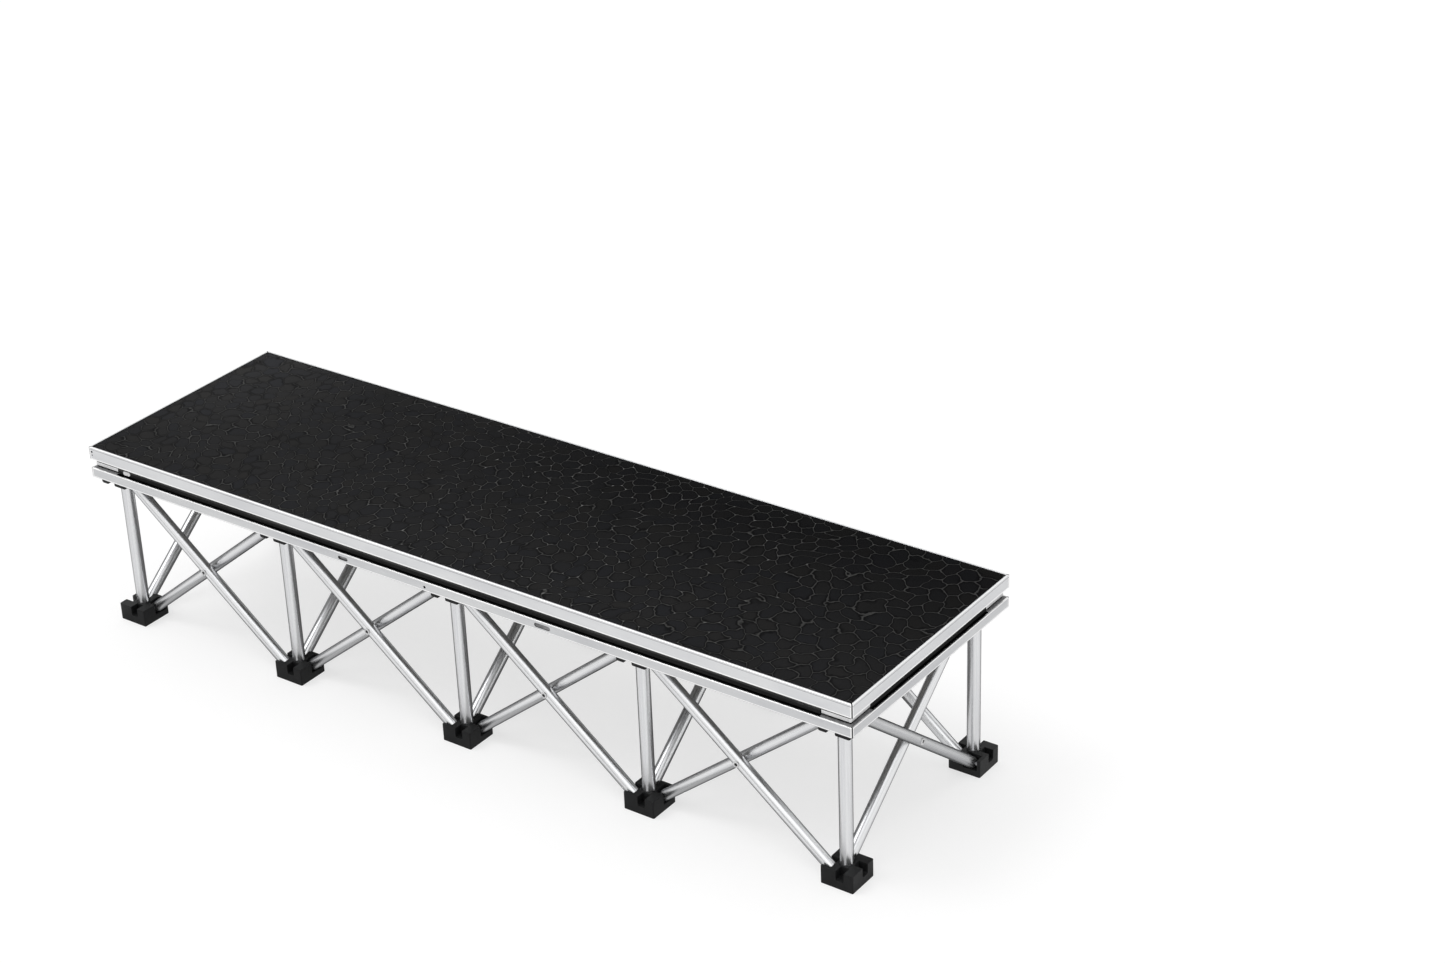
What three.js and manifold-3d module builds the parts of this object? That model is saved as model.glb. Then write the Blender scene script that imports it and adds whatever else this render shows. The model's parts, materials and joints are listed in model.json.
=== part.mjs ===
// Low stage step: a framed deck two metres long on a riser of ten legs, whose crossed braces fold
// like scissors in both directions once the deck is lifted off.
// Millimetres, +Z up. X runs along the step, Y from its front to its back, and the origin lies on
// the floor under the middle of the deck.

import * as THREE from "three";
import { mergeVertices } from "three/addons/utils/BufferGeometryUtils.js";
import Module from "manifold-3d";

const wasm = await Module();
wasm.setup();

// Layout of the riser
const columnCount = 5;
const rowCount = 2;
const baySpacing = 475;
const legInset = 50;
const stageHeight = 440;

// Clearances and overruns
const seatGap = 0.3;
const cutOverrun = 5;
const fuseDepth = 1;
const mergeTolerance = 0.0001;

// Legs
const legRadius = 14;
const legWall = 2;
const legSides = 16;

// Braces, their pins and rivets
const braceRadius = 12.5;
const braceWall = 2;
const braceSides = 14;
const boreSides = 6;
const noseSides = 4;
const pinRadius = 4;
const pinClearance = 0.2;
const pinSides = 8;
const plugReach = 22;
const crossingGap = 1;
const rivetHeadRadius = 7;
const rivetHeadHeight = 2;

// Hub blocks: the feet, and the top hubs, which are the same block turned over
const hubWidth = 75;
const hubHeight = 40;
const hubCornerChamfer = 2.5;
const pinInset = 7.5;
const pinHeight = 28;
const pocketEdge = -2;
const narrowPocketWidth = 18;
const widePocketWidth = 32;
const narrowPocketFloor = 18;
const narrowPocketChamfer = 4;
const pocketClearance = 1;
const noseClearance = 0.5;
const socketClearance = 0.3;
const footFloor = 6;
const topSocketDepth = 14;
const hubDrop = 16;

// Deck frame: one extruded profile on all four sides, with a groove between two bands
const railHeight = 74;
const upperBandHeight = 30;
const lowerBandHeight = 23;
const grooveDepth = 10.5;
const skirtDepth = 12.2;
const bearingDepth = 40;
const railWall = 2.5;
const lipWidth = 4.5;
const panelThickness = 16;
const panelRecess = 1;
const mitreGap = 0.2;

// Corner keys and strips in the groove
const keyLength = 75;
const keySetback = 8.5;
const keyHeight = 14;
const stripThickness = 1.2;
const stripHeight = 19;
const stripEndGap = 2;

// Derived sizes
const stageLength = baySpacing * (columnCount - 1) + legInset + legInset;
const stageWidth = baySpacing * (rowCount - 1) + legInset + legInset;
const railBase = stageHeight - railHeight;
const topHubTop = railBase - hubDrop + hubHeight;
const pinReach = hubWidth / 2 - pinInset;
const footPinZ = pinHeight;
const topPinZ = topHubTop - pinHeight;
const braceOffset = braceRadius + crossingGap / 2;
const braceRun = baySpacing - 2 * pinReach;
const braceRise = topPinZ - footPinZ;
const braceLength = Math.hypot(braceRun, braceRise);
const braceAngle = Math.atan2(braceRise, braceRun);

const X = new THREE.Vector3(1, 0, 0);
const Y = new THREE.Vector3(0, 1, 0);
const Z = new THREE.Vector3(0, 0, 1);
const quarterTurn = Math.PI / 2;
const quarterTurnDegrees = 90;

const aluminium = new THREE.MeshStandardMaterial({ color: 0xd6d7d9, roughness: 0.4, metalness: 0.9 });
const tubeMetal = new THREE.MeshStandardMaterial({ color: 0xc4c6c8, roughness: 0.3, metalness: 1 });
const blackPlastic = new THREE.MeshStandardMaterial({ color: 0x1e1f20, roughness: 0.6, metalness: 0 });
const deckBoard = new THREE.MeshStandardMaterial({ color: 0x1c1d1f, roughness: 0.7, metalness: 0 });
const loopFabric = new THREE.MeshStandardMaterial({ color: 0x0c0c0d, roughness: 0.95, metalness: 0 });

// A closed three.js geometry as a solid that can be cut and joined
function solidOf(geometry) {
  const bare = geometry.index ? geometry.clone() : mergeVertices(geometry.clone());
  bare.deleteAttribute("normal");
  bare.deleteAttribute("uv");
  const merged = mergeVertices(bare, mergeTolerance);
  return new wasm.Manifold(
    new wasm.Mesh({
      numProp: 3,
      vertProperties: new Float32Array(merged.attributes.position.array),
      triVerts: new Uint32Array(merged.index.array),
    }),
  );
}

// A solid back as a three.js geometry
function geometryOf(solid) {
  const mesh = solid.getMesh();
  const geometry = new THREE.BufferGeometry();
  geometry.setAttribute("position", new THREE.BufferAttribute(mesh.vertProperties, 3));
  geometry.setIndex(new THREE.BufferAttribute(mesh.triVerts, 1));
  geometry.computeVertexNormals();
  return geometry;
}

function boxBetween(low, high) {
  const size = high.map((value, axis) => value - low[axis]);
  const middle = high.map((value, axis) => (value + low[axis]) / 2);
  return solidOf(new THREE.BoxGeometry(...size).translate(...middle));
}

// An outline in the XZ plane drawn out along Y, from y = start to y = end
function prismAlongY(outline, start, end) {
  const shape = new THREE.Shape(outline.map(([x, z]) => new THREE.Vector2(x, z)));
  const geometry = new THREE.ExtrudeGeometry(shape, { depth: end - start, bevelEnabled: false });
  return solidOf(geometry.rotateX(quarterTurn).translate(0, end, 0));
}

// A round bar along Y at (x, z), from y = start to y = end
function barAlongY(radius, sides, x, z, start, end) {
  const bar = new THREE.CylinderGeometry(radius, radius, end - start, sides);
  return solidOf(bar.translate(x, (start + end) / 2, z));
}

// A round bar along Z, from z = start to z = end
function barAlongZ(radius, sides, start, end) {
  const bar = new THREE.CylinderGeometry(radius, radius, end - start, sides);
  return solidOf(bar.rotateX(quarterTurn).translate(0, 0, (start + end) / 2));
}

// The four faces of a hub block, each a quarter turn from the one before: +X, +Y, -X, -Y
const FACE_COUNT = 4;

// The pocket in the +X face: wide with a pin where a brace is fitted, narrow where none is
function pocketCut(braced) {
  const inner = pinReach - braceRadius - noseClearance;
  const outer = hubWidth / 2 + cutOverrun;
  const top = hubHeight + cutOverrun;
  if (braced) {
    const floor = pinHeight - braceRadius - pocketClearance;
    return boxBetween([inner, pocketEdge, floor], [outer, pocketEdge + widePocketWidth, top]);
  }
  const far = pocketEdge + narrowPocketWidth;
  const shape = new THREE.Shape([
    new THREE.Vector2(pocketEdge, top),
    new THREE.Vector2(pocketEdge, narrowPocketFloor + narrowPocketChamfer),
    new THREE.Vector2(pocketEdge + narrowPocketChamfer, narrowPocketFloor),
    new THREE.Vector2(far - narrowPocketChamfer, narrowPocketFloor),
    new THREE.Vector2(far, narrowPocketFloor + narrowPocketChamfer),
    new THREE.Vector2(far, top),
  ]);
  const cut = new THREE.ExtrudeGeometry(shape, { depth: outer - inner, bevelEnabled: false });
  return solidOf(cut.rotateX(quarterTurn).rotateZ(quarterTurn).translate(inner, 0, 0));
}

// One hub block standing on z = 0 with its pockets opening upwards. bracedFaces holds the numbers
// of the faces that carry a brace.
function hubSolid(bracedFaces, socketFloor) {
  const half = hubWidth / 2;
  const chamfer = hubCornerChamfer;
  const corners = [];
  for (let turn = 0; turn < FACE_COUNT; turn++) {
    for (const [x, y] of [[half, -half + chamfer], [half, half - chamfer]]) {
      corners.push(new THREE.Vector2(x, y).rotateAround(new THREE.Vector2(), turn * quarterTurn));
    }
  }
  const block = new THREE.ExtrudeGeometry(new THREE.Shape(corners), { depth: hubHeight, bevelEnabled: false });
  let solid = solidOf(block);
  solid = solid.subtract(
    barAlongZ(legRadius + socketClearance, legSides, socketFloor, hubHeight + cutOverrun),
  );
  for (let face = 0; face < FACE_COUNT; face++) {
    const braced = bracedFaces.includes(face);
    const degrees = [0, 0, face * quarterTurnDegrees];
    solid = solid.subtract(pocketCut(braced).rotate(degrees));
    if (braced) {
      const pin = barAlongY(
        pinRadius, pinSides, pinReach, pinHeight,
        pocketEdge - fuseDepth, pocketEdge + widePocketWidth + fuseDepth,
      );
      solid = solid.add(pin.rotate(degrees));
    }
  }
  return solid;
}

// A leg: an open tube from the foot's socket to the top hub's socket
function legSolid() {
  const bottom = footFloor + seatGap;
  const top = topHubTop - hubHeight + topSocketDepth - seatGap;
  const tube = barAlongZ(legRadius, legSides, bottom, top);
  return tube.subtract(barAlongZ(legRadius - legWall, legSides, bottom - cutOverrun, top + cutOverrun));
}

// A brace lying along X from its first pin at x = 0 to its second at x = braceLength, with the pins
// along Y. It is a tube with solid plugs where the pins pass, and its ends are rounded about them.
// A riveted brace carries the middle rivet, which reaches through its partner on the +Y side; the
// other kind has the hole for that rivet.
function braceSolid(riveted) {
  const outline = [];
  for (let step = 0; step <= noseSides; step++) {
    const angle = quarterTurn + (Math.PI * step) / noseSides;
    outline.push([braceRadius * Math.cos(angle), braceRadius * Math.sin(angle)]);
  }
  for (let step = 0; step <= noseSides; step++) {
    const angle = -quarterTurn + (Math.PI * step) / noseSides;
    outline.push([braceLength + braceRadius * Math.cos(angle), braceRadius * Math.sin(angle)]);
  }
  const reach = braceRadius + cutOverrun;
  const centre = braceLength / 2;
  const along = (radius, sides, length) =>
    solidOf(
      new THREE.CylinderGeometry(radius, radius, length, sides)
        .rotateY(Math.PI / sides)
        .rotateZ(-quarterTurn)
        .translate(centre, 0, 0),
    );
  let solid = along(braceRadius, braceSides, braceLength + 2 * reach).intersect(
    prismAlongY(outline, -reach, reach),
  );
  solid = solid.subtract(along(braceRadius - braceWall, boreSides, braceLength - 2 * plugReach));
  const holeRadius = (pinRadius + pinClearance) / Math.cos(Math.PI / pinSides);
  for (const x of [0, braceLength]) {
    solid = solid.subtract(barAlongY(holeRadius, pinSides, x, 0, -reach, reach));
  }
  if (!riveted) return solid.subtract(barAlongY(holeRadius, pinSides, centre, 0, -reach, reach));
  const farFace = 2 * braceOffset + braceRadius + seatGap;
  const farHead = farFace + rivetHeadHeight;
  const nearHead = -braceRadius - rivetHeadHeight;
  solid = solid.subtract(barAlongY(holeRadius, pinSides, centre, 0, 0, reach));
  solid = solid.add(barAlongY(rivetHeadRadius, pinSides, centre, 0, nearHead, -braceRadius + fuseDepth));
  solid = solid.add(barAlongY(pinRadius, pinSides, centre, 0, nearHead + fuseDepth, farHead - fuseDepth));
  solid = solid.add(barAlongY(rivetHeadRadius, pinSides, centre, 0, farFace, farHead));
  return solid;
}

// A rail of the deck frame along X, with its outer face towards -Y at y = -reach and its ends
// mitred into the next rails
function railGeometry(length, reach) {
  const grooveTop = railHeight - upperBandHeight;
  const ledge = railHeight - panelRecess - panelThickness - seatGap;
  const bearing = topHubTop - railBase + seatGap;
  const outline = new THREE.Shape([
    new THREE.Vector2(0, 0),
    new THREE.Vector2(skirtDepth, 0),
    new THREE.Vector2(skirtDepth, bearing),
    new THREE.Vector2(bearingDepth, bearing),
    new THREE.Vector2(bearingDepth, ledge),
    new THREE.Vector2(lipWidth, ledge),
    new THREE.Vector2(lipWidth, railHeight),
    new THREE.Vector2(0, railHeight),
    new THREE.Vector2(0, grooveTop),
    new THREE.Vector2(grooveDepth, grooveTop),
    new THREE.Vector2(grooveDepth, lowerBandHeight),
    new THREE.Vector2(0, lowerBandHeight),
  ]);
  const chamber = (left, right, low, high) =>
    new THREE.Path([
      new THREE.Vector2(left, low),
      new THREE.Vector2(left, high),
      new THREE.Vector2(right, high),
      new THREE.Vector2(right, low),
    ]);
  outline.holes.push(
    chamber(railWall, skirtDepth - railWall, railWall, lowerBandHeight - railWall),
    chamber(railWall, grooveDepth, grooveTop + railWall, ledge - railWall),
    chamber(grooveDepth + railWall, bearingDepth - railWall, bearing + railWall, ledge - railWall),
  );
  const geometry = new THREE.ExtrudeGeometry(outline, { depth: 1, steps: 1, bevelEnabled: false });
  const position = geometry.attributes.position;
  for (let i = 0; i < position.count; i++) {
    const inward = position.getX(i);
    const side = position.getZ(i) > 0 ? 1 : -1;
    position.setXYZ(i, side * (length / 2 - inward - mitreGap), inward - reach, railBase + position.getY(i));
  }
  return geometry;
}

// A corner key in the corner at x = -halfLength, y = -halfWidth: one arm, grown into the end rail,
// runs back along the end rail's groove, and the other reaches along the front rail's groove
function keySolid(halfLength, halfWidth) {
  const top = stageHeight - upperBandHeight - seatGap;
  const low = top - keyHeight;
  const seated = grooveDepth - seatGap;
  const alongEnd = boxBetween(
    [keySetback - halfLength, keySetback - halfWidth, low],
    [grooveDepth + mitreGap / 2 - halfLength, keyLength - halfWidth, top],
  );
  const alongFront = boxBetween(
    [keySetback - halfLength, keySetback - halfWidth, low],
    [keyLength - halfLength, seated - halfWidth, top],
  );
  return alongEnd.add(alongFront);
}

// An end rail with its two corner keys: side is -1 for the left end and 1 for the right
function endRailSolid(side) {
  const rail = solidOf(railGeometry(stageWidth, stageLength / 2)).rotate([0, 0, quarterTurnDegrees]);
  const frontKey = keySolid(stageLength / 2, stageWidth / 2).scale([-1, 1, 1]);
  const rearKey = keySolid(stageLength / 2, stageWidth / 2).scale([-1, -1, 1]);
  const right = rail.add(frontKey).add(rearKey);
  return side > 0 ? right : right.rotate([0, 0, 2 * quarterTurnDegrees]);
}

const stageStep = new THREE.Group();
stageStep.name = "stage_step";

function place(name, geometry, material, parent = stageStep) {
  const mesh = new THREE.Mesh(geometry, material);
  mesh.name = name;
  parent.add(mesh);
  return mesh;
}

const rowNames = ["front", "rear"];
const columnX = (column) => (column - (columnCount - 1) / 2) * baySpacing;
const rowY = (row) => (row - (rowCount - 1) / 2) * baySpacing;
const isEndColumn = (column) => column === 0 || column === columnCount - 1;
const isFront = (row) => row === 0;
const isRear = (row) => row === rowCount - 1;

// Faces of a foot that carry a brace, by number. The falling depth braces are at the two ends only.
function footFaces(row, column) {
  const faces = [];
  if (column < columnCount - 1) faces.push(0);
  if (isFront(row)) faces.push(1);
  if (column > 0) faces.push(2);
  if (isRear(row) && isEndColumn(column)) faces.push(3);
  return faces;
}

// The same for a top hub, in the turned block's own numbering: its +Y face points to the front
function topHubFaces(row, column) {
  const faces = [];
  if (column < columnCount - 1) faces.push(0);
  if (isRear(row)) faces.push(1);
  if (column > 0) faces.push(2);
  if (isFront(row) && isEndColumn(column)) faces.push(3);
  return faces;
}

// Feet, legs and top hubs
const legGeometry = geometryOf(legSolid());
rowNames.forEach((rowName, row) => {
  for (let column = 0; column < columnCount; column++) {
    const number = column + 1;
    const station = new THREE.Group();
    station.position.set(columnX(column), rowY(row), 0);
    stageStep.add(station);
    place(`foot_${rowName}_${number}`, geometryOf(hubSolid(footFaces(row, column), footFloor)), blackPlastic, station);
    place(`leg_${rowName}_${number}`, legGeometry, tubeMetal, station);
    const hub = hubSolid(topHubFaces(row, column), hubHeight - topSocketDepth);
    const topHub = place(`top_hub_${rowName}_${number}`, geometryOf(hub), blackPlastic, station);
    topHub.position.z = topHubTop;
    topHub.rotation.x = Math.PI;
  }
});

// Braces along the two long sides: a rising and a falling one cross in every bay
const risingGeometry = geometryOf(braceSolid(false));
const fallingGeometry = geometryOf(braceSolid(true));
rowNames.forEach((rowName, row) => {
  for (let bay = 0; bay < columnCount - 1; bay++) {
    const start = columnX(bay) + pinReach;
    const rising = place(`rising_brace_${rowName}_${bay + 1}`, risingGeometry, tubeMetal);
    rising.position.set(start, rowY(row) + braceOffset, footPinZ);
    rising.setRotationFromAxisAngle(Y, -braceAngle);
    const falling = place(`falling_brace_${rowName}_${bay + 1}`, fallingGeometry, tubeMetal);
    falling.position.set(start, rowY(row) - braceOffset, topPinZ);
    falling.setRotationFromAxisAngle(Y, braceAngle);
  }
});

// Braces from front to back: a rising one in every column, a falling one across each end
const towardsBack = new THREE.Quaternion().setFromAxisAngle(Z, quarterTurn);
for (let column = 0; column < columnCount; column++) {
  const number = column + 1;
  const start = rowY(0) + pinReach;
  const rising = place(`rising_depth_brace_${number}`, risingGeometry, tubeMetal);
  rising.position.set(columnX(column) - braceOffset, start, footPinZ);
  rising.quaternion.setFromAxisAngle(X, braceAngle).multiply(towardsBack);
  if (isEndColumn(column)) {
    const falling = place(`falling_depth_brace_${number}`, fallingGeometry, tubeMetal);
    falling.position.set(columnX(column) + braceOffset, start, topPinZ);
    falling.quaternion.setFromAxisAngle(X, -braceAngle).multiply(towardsBack);
  }
}

// Deck: the panel in its frame, with the skirt strips in the long grooves
const panelTop = stageHeight - panelRecess;
const panelInset = lipWidth + seatGap;
place(
  "deck_panel",
  geometryOf(
    boxBetween(
      [panelInset - stageLength / 2, panelInset - stageWidth / 2, panelTop - panelThickness],
      [stageLength / 2 - panelInset, stageWidth / 2 - panelInset, panelTop],
    ),
  ),
  deckBoard,
);
place("front_rail", railGeometry(stageLength, stageWidth / 2), aluminium);
place("rear_rail", railGeometry(stageLength, stageWidth / 2), aluminium).rotation.z = Math.PI;
place("left_rail", geometryOf(endRailSolid(-1)), aluminium);
place("right_rail", geometryOf(endRailSolid(1)), aluminium);

function stripGeometry() {
  const grooveMiddle = railBase + (lowerBandHeight + railHeight - upperBandHeight) / 2;
  const halfLength = stageLength / 2 - keyLength - stripEndGap;
  const back = grooveDepth - seatGap - stageWidth / 2;
  return geometryOf(
    boxBetween(
      [-halfLength, back - stripThickness, grooveMiddle - stripHeight / 2],
      [halfLength, back, grooveMiddle + stripHeight / 2],
    ),
  );
}
place("front_strip", stripGeometry(), loopFabric);
place("rear_strip", stripGeometry(), loopFabric).rotation.z = Math.PI;

export default stageStep;
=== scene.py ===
"""Low stage step on a folding riser: a black faced deck in a grooved aluminium frame, on ten legs
with crossed braces. Metres, +Z up, X along the step and Y from its front to its back."""

import json
import math

import bmesh
import bpy
from mathutils import Matrix, Vector


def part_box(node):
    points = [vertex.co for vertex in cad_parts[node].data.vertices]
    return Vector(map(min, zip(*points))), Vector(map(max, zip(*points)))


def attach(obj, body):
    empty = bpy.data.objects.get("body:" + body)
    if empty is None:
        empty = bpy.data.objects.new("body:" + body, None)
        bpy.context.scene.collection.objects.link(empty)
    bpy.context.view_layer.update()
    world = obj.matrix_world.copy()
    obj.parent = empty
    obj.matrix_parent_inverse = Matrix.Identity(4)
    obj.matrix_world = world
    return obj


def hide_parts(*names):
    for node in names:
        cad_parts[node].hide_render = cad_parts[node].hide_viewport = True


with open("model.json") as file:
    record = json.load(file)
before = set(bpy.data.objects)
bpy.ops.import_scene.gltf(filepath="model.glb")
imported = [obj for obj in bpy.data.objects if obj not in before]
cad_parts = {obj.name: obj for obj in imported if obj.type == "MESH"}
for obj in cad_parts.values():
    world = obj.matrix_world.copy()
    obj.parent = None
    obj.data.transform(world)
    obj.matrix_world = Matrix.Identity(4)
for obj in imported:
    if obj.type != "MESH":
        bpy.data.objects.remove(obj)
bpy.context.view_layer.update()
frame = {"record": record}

# Layout
COLUMN_COUNT = 5
ROWS = ("front", "rear")

# Camera: a long lens from the right, in front and above. Its turn is in degrees
LENS = 73.54
SENSOR_WIDTH = 36
CAMERA_PLACE = (3.5457, -4.1563, 3.3591)
CAMERA_TURN = (62.157, 1.866, 35.133)

# Angles between faces, in degrees, past which an edge is rounded or stays sharp
ROUNDED_ANGLE = 50
SHARP_ANGLE = 40
BRACE_SHARP_ANGLE = 32

# Legs and braces
LEG_RADIUS = 0.014
LEG_WALL = 0.002
LEG_END_ROUND = 0.0005
BRACE_RADIUS = 0.0125
BRACE_EDGE_ROUND = 0.0009
BRACE_OFFSET = 0.013
PIN_RADIUS = 0.004
PIN_CLEARANCE = 0.0002
PIN_REACH = 0.030
PIN_HEIGHT = 0.028
PIN_EMBEDDING = 0.001
TUBE_SEGMENTS = 56
PIN_SEGMENTS = 28
ROUND_STEPS = 4

# Rivets at the crossings of the braces
RIVET_RADIUS = 0.007
RIVET_HEAD = 0.0017
RIVET_EYE_RADIUS = 0.0037
RIVET_EYE_DEPTH = 0.0011
RIVET_SEATING = 0.0032

# Hub blocks
HUB_WIDTH = 0.075
HUB_CORNER_ROUND = 0.0028
HUB_EDGE_ROUND = 0.0009
POCKET_EDGE = -0.002
POCKET_INNER = 0.017
NARROW_POCKET_WIDTH = 0.018
NARROW_POCKET_FLOOR = 0.018
NARROW_POCKET_ROUND = 0.004
WIDE_POCKET_WIDTH = 0.032
WIDE_POCKET_FLOOR = 0.0145
WIDE_POCKET_ROUND = 0.002
SOCKET_RADIUS = 0.0143
FOOT_SOCKET_FLOOR = 0.006
TOP_SOCKET_DEPTH = 0.014
TOP_HUB_FLARE = 0.003
TOP_HUB_ROUND = 0.006
FACE_COUNT = 4

# Deck frame profile, as distances inwards from the outer face and upwards from the rail's base
UPPER_BAND_HEIGHT = 0.030
LOWER_BAND_HEIGHT = 0.023
GROOVE_DEPTH = 0.0105
SKIRT_DEPTH = 0.0122
BEARING_DEPTH = 0.040
LIP_WIDTH = 0.0045
MITRE_GAP = 0.0005
# Beside each mitre, the outer face has a dark strip, painted shade of the seam, and then a bright
# stripe, painted highlight
SEAM_WIDTH = 0.0014
SEAM_CHAMFER = 0.0004
END_STRIPE = 0.0040
OUTER_ROUND = 0.0010
INNER_ROUND = 0.0004
# A scribed line below the top: a shallow groove whose darker metal is painted shade
SCRIBE_DROP = 0.0050
SCRIBE_HALF_HEIGHT = 0.0006
SCRIBE_DEPTH = 0.0004
# Widths of the bright strips along the rail's edges, which are painted highlights
BRIGHT_EDGE = 0.0030
BRIGHT_LEDGE = 0.0035
BRIGHT_RIM = 0.0024
PROFILE_STEPS = 5
SEAT_GAP = 0.0003

# Materials of a rail's faces, in the order of its slots, and of the deck board's. Of the rail's, the
# second is a darker copy of the first, painted shade; the third bright metal, painted highlights; the
# fourth and fifth dark, painted shade; the sixth dark sawn metal, on the sawn ends and as painted shade
# of the seams. The board's second darkens its edges, partly as painted shade of the gap
UPPER, LOWER, EDGE_HIGHLIGHT, LINE_SHADE, DARK, SAWN_AND_SHADE = range(6)
FILM, SEALED_AND_GAP_SHADE, UNDERSIDE = range(3)

# Slots in the front rail: place along it, height above its base, length, height and depth
SLOTS = (
    (-0.262, 0.0105, 0.026, 0.0085, 0.0045),
    (0.266, 0.0115, 0.040, 0.0095, 0.0030),
)
# Thickness of the sheets at the bottom of the slots and the hole, painted shade
SLOT_SHADE_THICKNESS = 0.0018

# Small hole in the front rail, and screw holes at its left end with their drops and radii
HOLE_X = -0.040
HOLE_HEIGHT = 0.0095
HOLE_RADIUS = 0.003
HOLE_DEPTH = 0.0055
SCREW_INSET = 0.008
SCREW_DEPTH = 0.0028
SCREWS = ((0.0110, 0.0025), (0.0190, 0.0016))

# Corner keys
KEY_LENGTH = 0.075
KEY_SETBACK = 0.0085
KEY_EDGE_ROUND = 0.0009
KEY_TOP_HEIGHT = 0.0056
KEY_NECK_HEIGHT = 0.0024
KEY_NECK_INSET = 0.0012
KEY_ARM_HEIGHT = 0.0082
# Thickness of the grey sheet on the ledge below each key, painted shade
LEDGE_SHADE_THICKNESS = 0.0004

# Strips in the groove
STRIP_THICKNESS = 0.0012
STRIP_HEIGHT = 0.019
STRIP_END_GAP = 0.002
# Painted light and shadow on the strips: the half span over which they turn greyer about the groove's
# middle, and the height above it where the painted shadow of the band above starts, with its edge
STRIP_LIGHT_SPAN = 0.0030
STRIP_SHADOW_START = 0.0030
STRIP_SHADOW_EDGE = 0.0012
# Thickness of the dark sheets on the groove's ledge, painted shade
GROOVE_SHADE_THICKNESS = 0.0004

# Fasteners on the front strip: place along it, drop below the upper band, length, height, relief
OVAL_FASTENER = (-0.897, 0.0130, 0.0215, 0.0105, 0.0024)
DARK_FASTENERS = (
    (0.879, 0.0103, 0.0170, 0.0048, 0.0010),
    (0.899, 0.0103, 0.0070, 0.0040, 0.0010),
)

# Deck board
BOARD_EDGE_ROUND = 0.0018
TOP_FACE_SLOPE = 0.98

# Net on the deck board: the width of a cell, the roundness of its corners, and the bends of its
# lines, each with its scale and reach
NET_PITCH = 0.034
NET_CORNER_ROUND = 0.10
NET_WARPS = ((6.0, 0.070), (22.0, 0.034), (70.0, 0.007))

# Changes of the net and the film along X, each with its start, end and its level at either
NET_GROWTH = (-0.20, 1.00, 1.0, 0.86)
# Lines fainter towards the left end
LINE_STRENGTH = (-0.50, 0.85, 0.72, 1.0)
LINE_KEPT = (0.10, 0.85, 0.0, 0.75)
# Lines paler towards the left end, with the painted sheen: painted light
LINE_PALE = (-0.30, 0.60, 1.0, 0.0)
# Where the painted glints start and end along X
GLINTS_FROM = (-0.60, -0.10, 0.0, 1.0)
GLINTS_TO = (0.45, 0.80, 1.0, 0.0)
# Painted sheen: the film paler and glossier at the front and the left end, its paleness painted light
FRONT_SHEEN = (-0.90, 0.90, 0.98, 0.84)
REAR_SHEEN = (-0.60, 0.15, 0.70, 0.10)
CORNER_SHEEN = (-0.95, -0.60, 0.9, 0.0)

# Where the front sheen turns into the rear one, along Y
SHEEN_DEPTH = (-0.22, 0.22)

# Levels across a cell, at shares of its width: inwards from its side, or for LINE_MEETING outwards
# from its middle
LINE_CORE = (0.010, 0.040, 1.0, 0.0)
LINE_SIDE = (0.040, 0.150, 0.85, 0.0)
LINE_MEETING = (0.530, 0.560)

# Noise levels between which the lines fade and the painted glints sparkle
LINE_FADING = (0.36, 0.60, 0.35, 1.0)
GLINT_SPARKLE = (0.52, 0.62)

# The middle range of a noise, over which tones and gloss are spread
NOISE_MIDDLE = (0.35, 0.65)

# Scales of the noises that fade the lines, light the painted glints, cloud the film and grain it
FADING_SCALE = 20.0
GLINT_SCALE = 55.0
CLOUD_SCALE = 5.0
GRAIN_SCALE = 420.0

# Brightness and gloss of the film: what the painted sheen adds, and the level without it. The
# brightness is painted light
PAINTED_SHEEN_BRIGHTNESS = (0.8, 0.35)
SHEEN_GLOSS = (0.024, 0.010)

# Tones of the film
CELL_TONES = ((0.0084, 0.0088, 0.0106), (0.0110, 0.0105, 0.0101))
CLOUD_TONE = (0.0062, 0.0064, 0.0068)
LINE_SIDE_TONE = (0.0020, 0.0020, 0.0022)
LINE_TONES = ((0.045, 0.045, 0.044), (0.076, 0.076, 0.075))
# Tone of the painted glints where the lines meet
GLINT_TONE = (0.17, 0.17, 0.167)

# Studio
STANDING_BODY = "support_rear_3"
FLOOR_SIZE = 60.0
FLOOR_DROP = 0.0002
FLOOR_ALBEDO = 0.38
FLOOR_GLOW = 0.66
WORLD_LEVEL = 0.55
WHITE = (1, 1, 1, 1)

# Suns: where each comes from, its breadth in degrees, and its strength
SUNS = {
    "top_sun": ((-0.25, -0.15, 1.0), 80, 1.1),
    "left_sun": ((-0.50, -0.30, 1.0), 22, 0.45),
}

# Cards: the middle, the point that each faces, width, height and brightness
CARDS = {
    "rear_flag": ((0, 6.0, 0.75), (0, 0, 0.75), 14.0, 1.5, 0.05),
    # Under the deck and in front of it: dark sheets on the floor that only reflections see, painted
    # shade of the floor
    "under_deck_shade": ((-0.12, 0.05, 0.001), (-0.12, 0.05, 1.0), 1.76, 0.46, 0.15),
    "front_shade": ((0, -0.27, 0.0015), (0, -0.27, 1.0), 2.0, 0.18, 0.55),
    "front_flag": ((-0.7, -3.0, 0.3), (-0.7, 0, 0.3), 6.0, 0.6, 0.50),
    "left_flag": ((-5.0, -0.3, 1.6), (0, -0.3, 1.6), 5.0, 3.2, 0.45),
    "soft_box": ((1.85, -1.75, 3.3), (0, -0.25, 0.2), 2.6, 4.4, 1.5),
}

body_of = {
    node_name: body
    for body, members in frame["record"]["behaviour"]["bodies"].items()
    for node_name in members
}


def centre_of(node_name):
    low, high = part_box(node_name)
    return (low + high) / 2


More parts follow.
